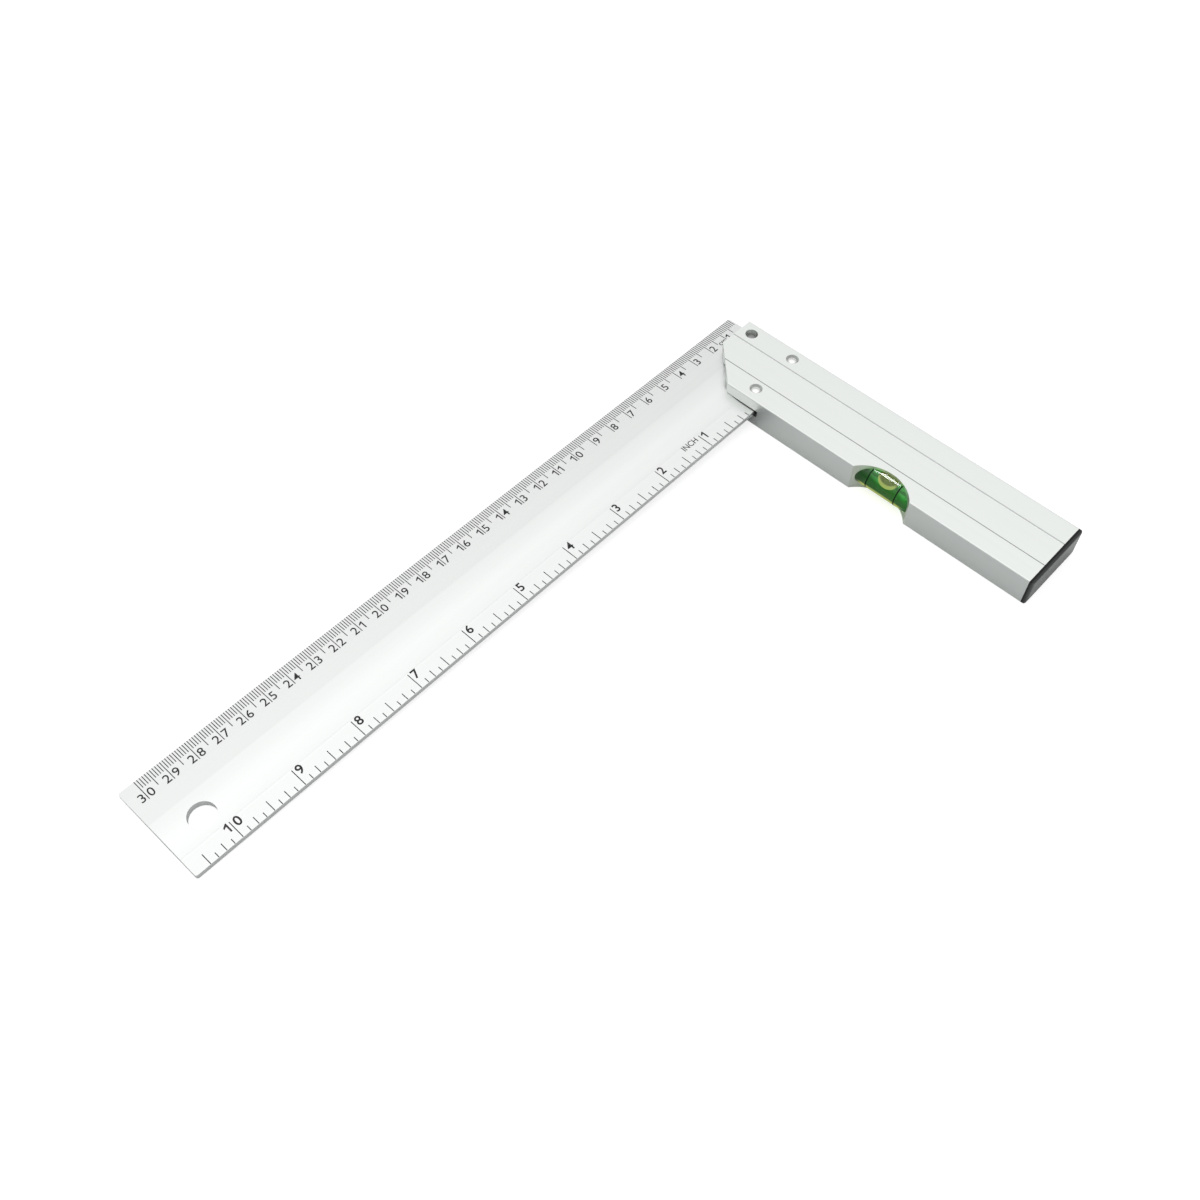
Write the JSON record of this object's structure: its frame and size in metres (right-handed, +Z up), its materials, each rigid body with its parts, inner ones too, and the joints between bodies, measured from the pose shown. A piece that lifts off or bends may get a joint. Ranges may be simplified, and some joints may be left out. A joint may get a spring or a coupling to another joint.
{
  "type": "try square with spirit vial",
  "caption": "Carpenter's square: a long thin graduated blade riveted at a right angle into a hollow stock, which has a spirit vial in its working edge and a plastic end cap.",
  "frame": {"origin": "the outer corner, where the blade's outer edge meets the stock's outer face, at the level of the stock's underside; the centimetre scale's zero is at x = 0", "axes": "+X along the blade to its free end, +Y along the stock to its capped end, +Z up, square to both"},
  "size_m": [0.3062, 0.1697, 0.0127],
  "materials": {
    "blade_metal": "satin anodised, extruded",
    "stock_metal": "satin anodised, extruded",
    "rivet_metal": "bright, pressed",
    "cap_plastic": "semi-gloss moulded",
    "vial_acrylic": "clear, polished",
    "vial_fluid": "clear green liquid",
    "bubble_gas": "clear bubble in the liquid",
    "black_ink": "printed black"
  },
  "bodies": {
    "square": {"blade": "blade_metal", "stock": "stock_metal", "end_cap": "cap_plastic", "rivet_corner": "rivet_metal", "rivet_outer": "rivet_metal", "rivet_inner": "rivet_metal", "vial_tube": "vial_acrylic", "vial_plug": "vial_acrylic", "vial_liquid": "vial_fluid", "vial_line_near": "black_ink", "vial_line_far": "black_ink"},
    "bubble": {"vial_bubble": "bubble_gas"}
  },
  "joints": [
    {"name": "bubble_travel", "type": "slide", "parent": "square", "child": "bubble", "axis": [0, 1, 0], "range_m": [-0.01, 0.01]}
  ]
}
